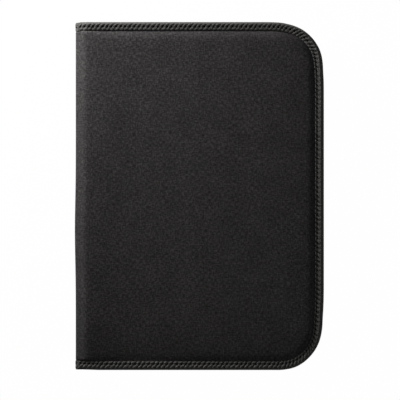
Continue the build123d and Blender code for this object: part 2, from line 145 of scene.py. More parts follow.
LIP_PUCKER = 0.8  # share of the puckers that the lip has
DEEPEST = 2.3 * MM  # floor of the puckers, clear of the hidden face below
PIT = 0.9 * MM  # how deep a needle hole draws the groove in
HOLE_SPAN = (0.74, 0.92)  # from the rim of a needle hole to its floor
UNDER_PIT = 0.5  # share of the pits that the hidden face has
SPINE_PROUD = 0.45 * MM  # how far the binding stands out at the ends of the spine
SPINE_FLAT = 0.8  # share of its relief that it loses there
SPINE_DIP = 0.65  # and of the dip beside it that the skin loses
PLAIN_REACH = (6 * MM, 2.5 * MM)  # from the face of the spine: full relief, end of the flat stretch
BINDING_STEP = 0.53 * MM
ZIP_STEP = 1.5 * MM

# Stitches
STITCH_PITCH = 4.66 * MM
STITCH_SLACK = 0.6 * MM  # how unevenly they lie
STITCH_SHARE = 0.52  # length of the thread that shows, as a share of the pitch
STITCH_RADIUS = 0.30 * MM
OUTER_STITCH_DEPTH = 1.4 * MM
INNER_STITCH_DEPTH = 4.2 * MM
POCKET_PITCH = 3 * MM
POCKET_SHARE = 0.75
POCKET_RADIUS = 0.22 * MM

# Panels sewn inside the covers
HEM = 12.5 * MM
HEM_STEP = 0.8 * MM
HEM_RISE = 0.3 * MM
HEM_SEAMS = (2 * MM, 10.5 * MM)
HEM_END = 3 * MM
SEAM_TOP = 14 * MM  # where the side seams end below the open edge of a panel
SEAM_MARGIN = 1.6 * MM
SEAM_HEIGHT = 0.9  # of the thread, as a share of the cloth's thickness
SEAM_PRESS = 0.5  # share of its thickness that the cloth loses at a seam
PRESS_REACH = 0.6 * MM
SAG = 0.12 * MM
SAG_SCALE = 1.7
SAG_REACH = 12 * MM
PANEL_GAP = 0.02 * MM

# Camera: scale of the image and where the case stands in it
IMAGE = 400
PIXEL = 1.0065 * MM
CASE_PIXEL = (199.6, 196.05)
LENS = 250
SENSOR = 36
SCALE_HEIGHT = 0.8  # where the scale holds, as a share of the depth

# Light: one low lamp beyond the head and the spine, in an even pale room
KEY_PLACE = (-0.376, 0.448, 0.135)
KEY_SIZE = 0.2
KEY_POWER = 8.13
ROOM_LIGHT = 0.217
FLOOR_SIZE = 6
FLOOR_GREY = (0.5, 0.5, 0.5, 1)
FLOOR_GLOW = 0.99  # the rest shows shadows


# Small helpers

def ramp(value, start, end):
    """Smooth step from 0 at start to 1 at end."""
    t = np.clip((value - start) / (end - start), 0, 1)
    return t * t * (3 - 2 * t)


def hump(value, size, middle, reach):
    """Smooth hump of that size, almost gone at twice its reach."""
    return size * np.exp(-(((value - middle) / reach) ** 2))


def between(sizes, share):
    first, second = sizes
    return first + (second - first) * share


def spaced(start, end, step):
    return np.linspace(start, end, max(2, round(abs(end - start) / step) + 1))


def grid(*parts):
    return np.stack(parts, axis=2)


def unit(vectors):
    return vectors / np.linalg.norm(vectors, axis=-1, keepdims=True)


def running(steps):
    """Sum of the steps so far, from 0."""
    return np.concatenate([[0], np.cumsum(steps)])


def path_lengths(points):
    """Length along a path to each of its points."""
    return running(np.linalg.norm(np.diff(points, axis=0), axis=1))


def at_length(spot, along, values):
    """Values at one spot or more, from rows of them that stand at the lengths along."""
    return np.array([np.interp(spot, along, column) for column in values.T])


def arc(centre, radius, start, end, steps=6):
    turn = np.radians(np.linspace(start, end, steps + 1))
    return [(centre[0] + radius * math.cos(t), centre[1] + radius * math.sin(t)) for t in turn]


def inset_of(x, y):
    """Distance in from the outline of a cover."""
    dx = x - CORNER_X
    dy = np.abs(y) - CORNER_Y
    corner = CORNER - np.hypot(dx, dy)
    side = CORNER - np.maximum(dx, dy)
    return np.where((dx > 0) & (dy > 0), corner, side)


def soft_waves(x, y):
    """Slow unevenness of a padded face, between about -1 and 1."""
    long_wave = np.sin(x / (21 * MM) + 1.3) * np.sin(y / (27 * MM) + 0.4)
    slant = np.sin((x + 0.7 * y) / (16 * MM) + 2.0)
    fine = np.sin((0.6 * x - y) / (9 * MM) + 0.9)
    return 0.55 * long_wave + 0.3 * slant + 0.15 * fine


def uneven_corners(x, y, depth):
    """How far the sewn rim is drawn in from the open edge, and down, at its two open corners."""
    at_rim = ramp(inset_of(x, y), *UNEVEN_INSETS) * ramp(depth, *UNEVEN_DEPTHS)
    from_edge = hump(y, *FOOT_DRAWN_IN) + hump(y, *HEAD_DRAWN_IN)
    downward = np.where(y > 0, hump(x, *HEAD_LOWERED), hump(x, *FOOT_LOWERED))
    return at_rim * from_edge, at_rim * downward


def by_spine(x):
    """1 on the spine, falling to 0 on the covers."""
    return ramp(x, SHORT_START, FOLD_X)


def on_spine_face(x):
    """1 on the face of the spine, falling to 0 on the slope of the fold."""
    return ramp(x - SPINE_X, *PLAIN_REACH)


def place(points, side):
    """Points given as x, y and depth below a cover's outer face, moved into the frame."""
    placed = np.array(points, float)
    x, y, depth = (placed[..., i].copy() for i in range(3))
    at_spine = by_spine(x)
    from_edge, downward = uneven_corners(x, y, depth)
    placed[..., 0] = x + at_spine * (SPINE_DRAWN_IN - hump(y, *BULGE)) - from_edge
    foot_up = at_spine * SPINE_SHORT * np.clip(-y / HALF_HEIGHT, 0, 1)
    head_down = on_spine_face(x) * HEAD_SHORT * np.clip(y / HALF_HEIGHT, 0, 1)
    placed[..., 1] = y + foot_up - head_down - downward
    placed[..., 2] = DEPTH - depth if side == "front" else np.maximum(depth, 0)
    return placed


# Meshes

def add_object(name, data):
    made = bpy.data.objects.new(name, data)
    bpy.context.scene.collection.objects.link(made)
    return made


def make_object(name, points, faces, flat, material, sharp=40):
    """Mesh object with its flat cloth coordinates, in metres, as UVs."""
    mesh = bpy.data.meshes.new(name)
    mesh.from_pydata(np.asarray(points, float).reshape(-1, 3).tolist(), [], faces)
    corners = np.zeros(len(mesh.loops), np.int32)
    mesh.loops.foreach_get("vertex_index", corners)
    layer = mesh.uv_layers.new(name="UVMap")
    layer.data.foreach_set("uv", np.asarray(flat, float).reshape(-1, 2)[corners].ravel())
    work = bmesh.new()
    work.from_mesh(mesh)
    bmesh.ops.recalc_face_normals(work, faces=work.faces)
    work.to_mesh(mesh)
    work.free()
    mesh.polygons.foreach_set("use_smooth", [True] * len(mesh.polygons))
    mesh.set_sharp_from_angle(angle=math.radians(sharp))
    mesh.materials.append(material)
    return add_object(name, mesh)


def closed_sheet(name, side, shown, hidden, flat, material):
    """Closed skin between two grids of points that match, given below a cover's outer face."""
    rows, columns = shown.shape[:2]
    count = rows * columns
    spots = np.arange(count).reshape(rows, columns)
    faces = []
    for a in spots[:-1, :-1].ravel().tolist():
        quad = (a, a + 1, a + columns + 1, a + columns)
        faces += [quad, tuple(count + i for i in reversed(quad))]
    rim = np.concatenate([spots[0], spots[1:, -1], spots[-1, -2::-1], spots[-2:0:-1, 0]]).tolist()
    for a, b in zip(rim, rim[1:] + rim[:1]):
        faces.append((b, a, count + a, count + b))
    points = place(np.concatenate([shown.reshape(-1, 3), hidden.reshape(-1, 3)]), side)
    return make_object(name, points, faces, np.concatenate([flat.reshape(-1, 2)] * 2), material)


def tube_faces(rings, around):
    """Faces of a closed tube through that many rings, with capped ends."""
    faces = []
    for ring in range(rings - 1):
        for k in range(around):
            a = ring * around + k
            b = ring * around + (k + 1) % around
            faces.append((a, b, b + around, a + around))
    last = (rings - 1) * around
    return [*faces, tuple(range(around)), tuple(reversed(range(last, last + around)))]


# Materials

CLOTH_GLOSS = 0.004
PAPER_GLOSS = 0.2


def node_tree(data):
    data.use_nodes = True
    return data.node_tree


def feed(socket, value):
    """The socket takes a value or the output of another node."""
    if isinstance(value, bpy.types.NodeSocket):
        socket.id_data.links.new(value, socket)
    else:
        socket.default_value = value


def add_node(tree, kind, inputs=None, **settings):
    made = tree.nodes.new(kind)
    for key, value in settings.items():
        setattr(made, key, value)
    for key, value in (inputs or {}).items():
        feed(made.inputs[key], value)
    return made


class Finish:
    """Node material round one principled shader."""

    STOPS = (0.36, 0.64)  # amounts of a noise between which its colour changes

    def __init__(self, name, colour, roughness, **sockets):
        self.material = bpy.data.materials.new(name)
        self.tree = node_tree(self.material)
        self.shader = self.tree.nodes["Principled BSDF"]
        self.colour = colour
        feed(self.shader.inputs["Base Color"], (*colour, 1))
        feed(self.shader.inputs["Roughness"], roughness)
        for socket, value in sockets.items():
            feed(self.shader.inputs[socket.replace("_", " ")], value)

    def node(self, kind, inputs=None, **settings):
        return add_node(self.tree, kind, inputs, **settings)

    def math(self, operation, a, b=0.0):
        return self.node("ShaderNodeMath", {0: a, 1: b}, operation=operation).outputs[0]

    def flat_place(self):
        """Place on the flat cloth, in metres."""
        split = self.node("ShaderNodeSeparateXYZ", {0: self.node("ShaderNodeUVMap").outputs[0]})
        return split.outputs[0], split.outputs[1]

    def noise(self, vector, detail, scale=1.0):
        inputs = {"Vector": vector, "Scale": scale, "Detail": detail}
        return self.node("ShaderNodeTexNoise", inputs).outputs[0]

    def cloth_noise(self, u, v, across, along, detail=2.0):
        """Noise whose grains are that wide and long on the cloth, from 0 to 1."""
        inputs = {0: self.math("DIVIDE", u, across), 1: self.math("DIVIDE", v, along)}
        return self.noise(self.node("ShaderNodeCombineXYZ", inputs).outputs[0], detail)

    def stripes(self, value, pitch):
        """Rounded stripes that are pitch wide: how far each is from its edges, with a sign."""
        return self.math("SINE", self.math("MULTIPLY", value, math.pi / pitch))

    def weave(self, u, v, pitch):
        """Height of a plain weave: yarns over and under each other, pitch apart."""
        roundness = 0.4
        across = self.stripes(u, pitch)
        along = self.stripes(v, pitch)
        under = self.math("LESS_THAN", self.math("MULTIPLY", across, along), 0.0)
        a = self.math("ABSOLUTE", across)
        b = self.math("ABSOLUTE", along)
        warp = self.math("MULTIPLY", a, self.math("POWER", b, roundness))
        weft = self.math("MULTIPLY", b, self.math("POWER", a, roundness))
        return self.node("ShaderNodeMix", {0: under, 2: warp, 3: weft}).outputs[0]

    def bump(self, height, distance, strength=1.0):
        bump = self.node("ShaderNodeBump", {"Height": height, "Distance": distance, "Strength": strength})
        feed(self.shader.inputs["Normal"], bump.outputs[0])

    def shade(self, amount, *shares):
        """Base colour in two or three shares of the material's own, by amount from 0 to 1."""
        colours = self.node("ShaderNodeValToRGB", {0: amount})
        stops = colours.color_ramp.elements
        for stop, position in zip(stops, self.STOPS):
            stop.position = position
        if len(shares) == 3:
            stops.new(sum(self.STOPS) / 2)
        for stop, share in zip(stops, shares):
            stop.color = (*(share * c for c in self.colour), 1)
        feed(self.shader.inputs["Base Color"], colours.outputs[0])

    def tint(self, amount, colour):
        """Shaded base colour taken towards another colour, by amount from 0 to 1."""
        base = self.shader.inputs["Base Color"]
        inputs = {0: amount, 6: base.links[0].from_socket, 7: (*colour, 1)}
        feed(base, self.node("ShaderNodeMix", inputs, data_type="RGBA").outputs[2])

    def vary_roughness(self, amount, roughness, less=0.1, more=0.1):
        spread = self.node("ShaderNodeMapRange", {0: amount, 3: roughness - less, 4: roughness + more})
        feed(self.shader.inputs["Roughness"], spread.outputs[0])


def woven(name, colour, pitch, roughness, relief, fleck, sheen):
    """Woven cloth with flecked yarns and a soft sheen."""
    width, length, patch = 2.3 * pitch, 6 * pitch, 40 * pitch
    patch_share, fleck_height = 0.1, 1.5
    dark, middle, light = 1 - 0.85 * fleck, 1 - 0.14 * fleck, 1 + 1.15 * fleck
    made = Finish(name, colour, roughness, Sheen_Weight=sheen, Specular_IOR_Level=CLOTH_GLOSS)
    u, v = made.flat_place()
    weave = made.weave(u, v, pitch)
    warp_fleck = made.cloth_noise(u, v, width, length)
    weft_fleck = made.cloth_noise(u, v, length, width)
    flecks = made.math("MULTIPLY", made.math("ADD", warp_fleck, weft_fleck), 0.5)
    cloud = made.cloth_noise(u, v, patch, patch)
    fine_tone = made.math("MULTIPLY", flecks, 1 - patch_share)
    tone = made.math("ADD", fine_tone, made.math("MULTIPLY", cloud, patch_share))
    made.shade(tone, dark, middle, light)
    made.vary_roughness(flecks, roughness)
    made.bump(made.math("ADD", weave, made.math("MULTIPLY", flecks, fleck_height)), relief)
    return made.material


def ribbed(name, colour, pitch, roughness, relief, sheen, paint_hole_shade=False):
    """Narrow woven tape with ribs along its length and a fine cross weave.

    On request the tape gets painted shade inside the needle holes that its mesh marks.
    """
    rib_height, yarn_slant, yarn_pitch, hole_shade_share = 0.5, 0.8, 0.6 * pitch, 0.1
    made = Finish(name, colour, roughness, Sheen_Weight=sheen, Specular_IOR_Level=CLOTH_GLOSS)
    u, v = made.flat_place()
    rib = made.math("ABSOLUTE", made.stripes(v, pitch))
    slant = made.math("ADD", u, made.math("MULTIPLY", made.math("PINGPONG", v, 2 * pitch), yarn_slant))
    yarn = made.math("ABSOLUTE", made.stripes(slant, yarn_pitch))
    flecks = made.cloth_noise(u, v, 1.5 * pitch, 2.5 * pitch)
    made.shade(flecks, 0.6, 1.4)
    # painted shade: inside the needle holes the colour falls to a tenth of its own
    if paint_hole_shade:
        hole_shade = made.node("ShaderNodeAttribute", attribute_name="hole").outputs["Fac"]
        made.tint(hole_shade, [hole_shade_share * c for c in colour])
    made.vary_roughness(flecks, roughness)
    made.bump(made.math("ADD", made.math("MULTIPLY", rib, rib_height), yarn), relief)
    return made.material


def object_place(made):
    return made.node("ShaderNodeTexCoord").outputs["Object"]


def moulded(name, colour, roughness, metallic, grain, scratch):
    """Cast metal or moulded plastic with fine grain and rubbed patches."""
    made = Finish(name, colour, roughness, Metallic=metallic)
    place_of = object_place(made)
    fine = made.noise(place_of, 3.0, 1 / grain)
    patch = made.noise(place_of, 4.0, 1 / scratch)
    made.shade(patch, 0.75, 1.3)
    made.vary_roughness(patch, roughness, more=0.14)
    made.bump(fine, 0.03 * MM, 0.6)
    return made.material


def fibrous(name, colour, roughness, grain):
    """Card or paper with short fibres."""
    made = Finish(name, colour, roughness, Specular_IOR_Level=PAPER_GLOSS)
    scales = (1 / grain, 0.35 / grain, 1 / grain)
    stretched = made.node("ShaderNodeMapping", {"Vector": object_place(made), "Scale": scales})
    fibres = made.noise(stretched.outputs[0], 4.0)
    made.shade(fibres, 0.9, 1.06)
    made.bump(fibres, 0.03 * MM)
    return made.material


def ruled_paper():
    """Writing paper with pale rules and one margin line."""
    pitch, line, margin, head = 8 * MM, 0.3 * MM, 32 * MM, 30 * MM
    made = Finish("ruled_paper", (0.72, 0.70, 0.63), 0.8, Specular_IOR_Level=PAPER_GLOSS)
    u, v = made.flat_place()
    on_rule = made.math("LESS_THAN", made.math("MODULO", v, pitch), line)
    below_head = made.math("GREATER_THAN", v, head)
    rule = made.math("MULTIPLY", on_rule, below_head)
    offset = made.math("ABSOLUTE", made.math("SUBTRACT", u, margin))
    side = made.math("LESS_THAN", offset, line / 2)
    fibres = made.cloth_noise(u, v, 0.5 * MM, 1.4 * MM, 4.0)
    made.shade(fibres, 0.96, 1.03)
    made.tint(rule, (0.36, 0.48, 0.62))
    made.tint(side, (0.62, 0.3, 0.3))
    made.bump(fibres, 0.02 * MM)
    return made.material


OUTER = woven("outer_fabric", (0.0336, 0.0313, 0.0314), 0.55 * MM, 0.75, 0.10 * MM, 0.7, 0.06)
# the binding carries painted shade in its needle holes
BINDING = ribbed("binding_tape", (0.062, 0.0605, 0.058), 0.8 * MM, 0.6, 0.10 * MM, 0.03, paint_hole_shade=True)
LINING_CLOTH = woven("lining_cloth", (0.054, 0.054, 0.056), 0.35 * MM, 0.6, 0.05 * MM, 0.3, 0.1)
POCKET_CLOTH = woven("pocket_cloth", (0.038, 0.038, 0.040), 0.45 * MM, 0.65, 0.07 * MM, 0.45, 0.1)
THREAD = ribbed("thread", (0.065, 0.0635, 0.061), 0.25 * MM, 0.5, 0.05 * MM, 0.03)
ZIP_TAPE = ribbed("zip_tape", (0.020, 0.020, 0.021), 0.7 * MM, 0.65, 0.10 * MM, 0.1)
ELASTIC = ribbed("elastic", (0.022, 0.022, 0.023), 0.9 * MM, 0.6, 0.10 * MM, 0.15)
TEETH = moulded("zip_teeth", (0.018, 0.018, 0.019), 0.35, 0.0, 0.3 * MM, 3 * MM)
METAL = moulded("zip_metal", (0.20, 0.195, 0.19), 0.32, 1.0, 0.15 * MM, 2.5 * MM)
CARD = fibrous("backing_card", (0.40, 0.33, 0.25), 0.85, 0.6 * MM)
PAPER_EDGE = fibrous("paper_edge", (0.70, 0.68, 0.61), 0.85, 0.3 * MM)
HEAD_TAPE = fibrous("head_tape", (0.035, 0.036, 0.045), 0.6, 0.4 * MM)
RULED = ruled_paper()


# Covers: one skin of cloth from the middle of the spine, round the fold and over the padding

def cover_rows(edge, step=3.5 * MM, corner_steps=26):
    """Heights of the rows of a sheet whose edge lies that far in from the outline."""
    turn = np.radians(np.linspace(0, 90, corner_steps + 1))
    head = CORNER_Y + (CORNER - edge) * np.sin(turn)
    middle = spaced(-CORNER_Y, CORNER_Y, step)[1:-1]
    return np.concatenate([-head[::-1], middle, head])


def cover_columns(start, edge, step=4 * MM):
    """Columns across a cover, as shares of its width, closer together at the open edge."""
    width = OPEN_X - edge - start
    near = np.array([0, 0.7, 1.3, 1.8, 2.3, 2.9, 3.6, 4.5, 5.7, 7.2, 9, 11.5, 14.5, 17.5, 21]) * MM
    far = spaced(near[-1], width, step)[1:]
    return 1 - np.concatenate([near, far])[::-1] / width


def open_edge(y, edge):
    """x of a sheet's open edge at each height."""
    radius = CORNER - edge
    over = np.clip(np.abs(y) - CORNER_Y, 0, radius)
    return CORNER_X + np.sqrt(radius ** 2 - over ** 2)


def along_rim(y, sizes):
    """Size at each height, between those for the foot, the open edge and the head."""
    foot, side, head = sizes
    return np.interp(y / HALF_HEIGHT, (-1, -0.8, 0.8, 1), (foot, side, side, head))


def fold_curve(points, fineness=40):
    """Profile of the outside from the spine onto a cover: x, depth and slope."""
    joins = running(FOLD_LENGTHS)
    along = np.linspace(0, joins[-1], fineness * points + 1)
    slope = np.radians(np.interp(along, joins, FOLD_SLOPES))
    step = along[1]
    x = SPINE_X + running(np.cos((slope[1:] + slope[:-1]) / 2) * step)
    fall = running(np.sin((slope[1:] + slope[:-1]) / 2) * step)
    return x[::fineness], (fall[-1] - fall)[::fineness], slope[::fineness]


FOLD_REACH = fold_curve(FOLD_STEPS)[0][-1] - SPINE_X
FOLD_DROP = fold_curve(FOLD_STEPS)[1][0]


def cover_sheet(edge, profile, spine_step=1.2 * MM):
    """Grids over spine half, fold and cover: x, y, base depth and the inward direction there.

    The profile holds x, depth and slope of the fold, from the spine to the cover.
    """
    fold_x, fold_depth, fold_slope = (values[:-1] for values in profile)
    start = profile[0][-1]
    y = cover_rows(edge)
    run = spaced(MIDDLE, fold_depth[0], spine_step)[:-1]
    across = start + np.outer(open_edge(y, edge) - start, cover_columns(start, edge))
    ones = np.ones((len(y), 1))
    beside = np.ones(len(run))
    x = np.hstack([ones * beside * fold_x[0], ones * fold_x, across])
    depth = np.hstack([ones * run, ones * fold_depth, 0 * across])
    toward_x = np.hstack([ones * beside, ones * np.sin(fold_slope), 0 * across])
    toward_d = np.hstack([0 * ones * beside, ones * np.cos(fold_slope), 0 * across + 1])
    rows = np.repeat(y[:, None], x.shape[1], axis=1)
    return x, rows, depth, toward_x, toward_d


def cover_normals(points):
    """Unit normals of a cover's grid, on its deeper side."""
    normals = unit(np.cross(np.gradient(points, axis=1), np.gradient(points, axis=0)))
    return normals * np.sign(normals[len(normals) // 2, -FLAT_COLUMN, 2])


def flat_places(points):
    """Unrolled places: length along each row from the spine, and height."""
    middle = points[points.shape[0] // 2]
    u = path_lengths(middle) + points[..., 0] - middle[:, 0]
    return grid(u, points[..., 1])


def front_padding(x, y, toward_d, on_cover):
    """How far the padding of the front stands proud of the flat face."""
    near_foot = np.clip(1 - (y + HALF_HEIGHT - LIPS[0]) / FOOT_REACH, 0, 1) ** 2
    edge_most, edge_reach = (np.interp(y, EDGE_HEIGHTS, sizes) for sizes in (EDGE_SINKS, EDGE_REACHES))
    edge_sink = edge_most * np.clip(1 - (OPEN_X - x - LIPS[1]) / edge_reach, 0, 1) ** 2
    sink = np.maximum(FOOT_SINK * near_foot, edge_sink)
    low_down = ramp(y / HALF_HEIGHT, *LOW_DOWN)
    ridge = hump(x, between(RIDGE_SIZES, low_down), SPINE_X + RIDGE_PLACE * FOLD_REACH, RIDGE_WIDTH)
    hollow = hump(x, between(HOLLOW_SIZES, low_down), HOLLOW_X, HOLLOW_REACH)
    flat_part = FRONT_RISE - sink + WAVE * soft_waves(x, y) - hollow
    return flat_part * on_cover + ridge * toward_d ** STEEP_POWER * (1 - near_foot)


def cover_skin(side):
    """Outer cloth of a cover, over its padding and down beside the binding."""
    x, y, depth, toward_x, toward_d = cover_sheet(SKIN_EDGE, fold_curve(FOLD_STEPS))
    rise_x = SPINE_X + RISE_START * FOLD_REACH
    on_cover = ramp(x, rise_x, rise_x + RISE_REACH)
    within = inset_of(x, y) - along_rim(y, LIPS) - CROWN_GAP
    width = between((DIP_WIDTH, along_rim(y, CROWN_WIDTHS)), on_cover)
    fall = (1 - np.clip(within / width, 0, 1)) ** CROWN_POWER
    drop = RIM_DROP * (1 - SPINE_DIP * on_spine_face(x)) * fall
    if side == "front":
        drop = drop - (1 - fall) * front_padding(x, y, toward_d, on_cover)
    shown = grid(x + toward_x * drop, y, depth + toward_d * drop)
    hidden = shown + FABRIC * cover_normals(shown)
    skin = closed_sheet(side + "_cover_skin", side, shown, hidden, flat_places(shown), OUTER)
    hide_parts(side + "_outer_fabric", side + "_fold_fabric", side + "_foam_pad", "spine_fabric")
    fold_with(skin)


def fold_with(piece):
    """Bakes the piece's placement into its mesh."""
    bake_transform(piece)


def lining_sheet(side):
    """Inner cloth of a cover, climbing from the rim onto the board and running into the spine."""
    rim_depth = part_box("back_zip_tape")[0].z
    turn = np.radians(np.linspace(90, 0, 17))
    reach = FOLD_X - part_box("spine_lining")[1].x
    bend = (FOLD_X - reach * np.sin(turn), SPINE_RADIUS * (1 - np.cos(turn)), turn)
    x, y, depth, _, _ = cover_sheet(LINING_EDGE, bend)
    level = between((rim_depth, INSIDE), ramp(inset_of(x, y), *LINING_CLIMB))
    shown_depth = np.where(x < FOLD_X, depth + level * (1 - depth / SPINE_RADIUS), level)
    shown_depth = np.where(depth > SPINE_RADIUS, depth, shown_depth)
    fold_x, fold_depth, _ = fold_curve(FOLD_STEPS)
    shown_depth = np.maximum(shown_depth, np.interp(x, fold_x, fold_depth) + rim_depth)
    shown = grid(x, y, shown_depth)
    hidden = shown - LINING * cover_normals(shown)
    sheet = closed_sheet(side + "_lining_sheet", side, shown, hidden, flat_places(shown), LINING_CLOTH)
    unseen = ["_lining", "_fold_lining", "_stiffener_board"]
    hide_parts(*(side + name for name in unseen), "spine_lining", "spine_stiffener")
    fold_with(sheet)


# Rim: binding, its stitches and the zip tape follow one path round a cover

def rim_stations(step, start_x=None):
    """Places along the rim: edge point, direction into the cover and direction through it.

    The path runs from the middle of the spine, or from start_x, along the head, round the
    open edge and back along the foot.
    """
    spine_step, straight_step, fold_steps, corner_steps = 0.2 * MM, 0.5 * MM, 60, 120
    rows = []
    first_x = SPINE_X + FOLD_REACH if start_x is None else start_x
    if start_x is None:
        for depth in spaced(MIDDLE, FOLD_DROP, spine_step):
            rows.append(((SPINE_X, HALF_HEIGHT, depth), (0, -1, 0), (1, 0, 0)))
        for x, depth, slope in list(zip(*fold_curve(fold_steps)))[1:]:
            rows.append(((x, HALF_HEIGHT, depth), (0, -1, 0), (math.sin(slope), 0, math.cos(slope))))
    for x in spaced(first_x, CORNER_X, straight_step)[int(start_x is None):]:
        rows.append(((x, HALF_HEIGHT, 0), (0, -1, 0), (0, 0, 1)))
    for out_x, out_y in arc((0, 0), 1, 90, 0, corner_steps)[1:]:
        corner = (CORNER_X + CORNER * out_x, CORNER_Y + CORNER * out_y, 0)
        rows.append((corner, (-out_x, -out_y, 0), (0, 0, 1)))
    for y in spaced(CORNER_Y, 0, straight_step)[1:]:
        rows.append(((OPEN_X, y, 0), (-1, 0, 0), (0, 0, 1)))
    half = np.array(rows, float)
    whole = np.concatenate([half, half[-2::-1] * np.array([1, -1, 1])])
    along = path_lengths(whole[:, 0])
    even = spaced(0, along[-1], step)
    points, inward, through = (at_length(even, along, whole[:, part]).T for part in range(3))
    return even, points, unit(inward), unit(through)


def swept(name, side, stations, section, flat, material):
    """Closed tube along the rim, from the inset and depth of its section at each station."""
    points, inward, through = (part[:, None] for part in stations[1:])
    rings = place(points + inward * section[..., :1] + through * section[..., 1:], side)
    return make_object(name, rings, tube_faces(*rings.shape[:2]), flat, material, 50)


def smooth_ring(points, steps):
    """Closed smooth curve through a few points given in millimetres."""
    here = np.array(points, float)[:, None] * MM
    before, after, beyond = (np.roll(here, shift, axis=0) for shift in (1, -1, -2))
    t = (np.arange(steps) / steps)[None, :, None]
    bend = 2 * before - 5 * here + 4 * after - beyond
    twist = 3 * (here - after) + beyond - before
    curve = here + 0.5 * t * (after - before + t * (bend + t * twist))
    return curve.reshape(-1, 2)


# Section of the binding as inset and depth: outside from the lip to the edge, inside, hidden faces
BASE_GROOVE = 6.2 * MM
BASE_LIP = 8.6 * MM
INNER_GROOVE = 5.2 * MM
OUTER_FLAP = [
    (8.25, 1.70), (8.6, 1.30), (8.25, 0.92), (7.7, 0.62), (7.15, 0.58), (6.7, 0.95), (6.2, 1.60),
    (5.6, 0.95), (4.8, 0.30), (3.7, 0.08), (2.7, 0.20), (1.9, 0.70), (1.3, 1.65),
]
INNER_FLAP = [
    (0.95, 2.35), (0.4, 2.55), (0.0, 3.05), (0.4, 3.80), (1.6, 4.25), (3.6, 4.30), (5.2, 4.08),
    (6.1, 4.30), (6.9, 3.98), (6.6, 3.66), (4.0, 3.62), (1.7, 3.50), (1.2, 3.05),
]
UNDERSIDE = [(2.0, 2.45), (3.5, 2.55), (5.4, 2.50), (6.2, 2.25), (7.0, 1.75)]
SPAN_STEPS = 2
BINDING_SECTION = smooth_ring(OUTER_FLAP + INNER_FLAP + UNDERSIDE, SPAN_STEPS)
PLACES = np.arange(len(BINDING_SECTION))
OUTSIDE = PLACES < SPAN_STEPS * len(OUTER_FLAP)
UNDER_FLAP = PLACES >= SPAN_STEPS * len(OUTER_FLAP + INNER_FLAP)
FACING = PLACES < SPAN_STEPS * len(OUTER_FLAP + INNER_FLAP[:3])  # outside and edge


def stitch_places(length):
    """Middles of the stitches along a seam, not quite even."""
    count = int(length / STITCH_PITCH)
    first = (length - (count - 1) * STITCH_PITCH) / 2
    slack = STITCH_SLACK
    return np.array([first + i * STITCH_PITCH + CHANCE.uniform(-slack, slack) for i in range(count)])


def tape_places(along, section):
    """Length along the rim and place across the tape, and the width of the tape laid flat."""
    across = path_lengths(section)
    return grid(*np.meshgrid(along, across, indexing="ij")), across[-1] / 2


def edge_binding(side):
    """Tape folded round the rim, drawn into a groove and puckered by its stitches."""
    stations = rim_stations(BINDING_STEP)
    along, points = stations[:2]
    x, y = points[:, :1], points[:, 1:2]
    plain = on_spine_face(x)
    relief = 1 - SPINE_FLAT * plain
    stitches = stitch_places(along[-1])
    turns = np.interp(along, stitches, np.arange(len(stitches)))[:, None]
    size = np.interp(along, stitches, [CHANCE.uniform(*PUCKER_SIZES) for _ in stitches])[:, None]

    # Places on the section, where each kind of relief acts
    inset, depth = BINDING_SECTION.T
    from_groove = inset - BASE_GROOVE
    begins = along_rim(y, PUCKER_STARTS)
    roll = OUTSIDE * ramp(inset, begins, begins + PUCKER_RAMP) * ramp(from_groove, 0, -PUCKER_END)
    lip = (OUTSIDE | UNDER_FLAP) * ramp(from_groove, 0, PUCKER_END)
    groove = ramp(np.abs(from_groove), *GROOVE_HALF) * (OUTSIDE + UNDER_PIT * UNDER_FLAP)
    edge_side, lip_side = LIFT_SIDES
    lifted = OUTSIDE * ramp(np.maximum(-edge_side * from_groove, lip_side * from_groove), *LIFT_SPAN)

    # Section at each station
    bead = np.abs(np.cos(math.pi * (turns + PUCKER_SLANT * from_groove / STITCH_PITCH))) ** PUCKER_POWER
    hole = ramp(np.abs(np.sin(math.pi * turns)), *HOLE_SPAN)
    pucker = along_rim(y, PUCKERS) * size * relief * (1 - bead)
    lift = along_rim(y, GROOVE_LIFTS) * (1 - plain)
    puckered = depth * np.where(FACING, relief, 1) + pucker * (roll + LIP_PUCKER * lip)
    groove_at, lip_at = (along_rim(y, sizes) for sizes in (GROOVES, LIPS))
    beyond = groove_at + from_groove * (lip_at - groove_at) / (BASE_LIP - BASE_GROOVE)
    shifted = np.where(from_groove < 0, inset * groove_at / BASE_GROOVE, beyond)
    section = np.empty((len(along), len(inset), 2))
    section[..., 0] = np.where(OUTSIDE | UNDER_FLAP, shifted, inset)
    section[..., 1] = np.where(roll > 0, np.minimum(puckered, DEEPEST), puckered)
    section[..., 1] += PIT * hole * groove * (1 - plain) - SPINE_PROUD * plain * FACING - lift * lifted

    flat, width = tape_places(along, BINDING_SECTION)
    binding = swept(side + "_binding", side, stations, section, flat, BINDING)
    # painted shade: marks where the binding's colour is darkened inside its needle holes
    hole_shade = binding.data.attributes.new("hole", "FLOAT", "POINT")
    hole_shade.data.foreach_set("value", (hole * groove * OUTSIDE).ravel())
    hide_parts(side + "_edge_binding", side + "_fold_binding", "spine_binding")
    fold_with(binding)
    outer = np.hstack([groove_at, OUTER_STITCH_DEPTH * relief - SPINE_PROUD * plain - lift])
    seam_stitches(side + "_binding_stitches", stations, stitches, outer, -1, side)
    inner = np.tile((INNER_GROOVE, INNER_STITCH_DEPTH), (len(along), 1))
    seam_stitches(side + "_inner_binding_stitches", stations, stitches, inner, 1, side)


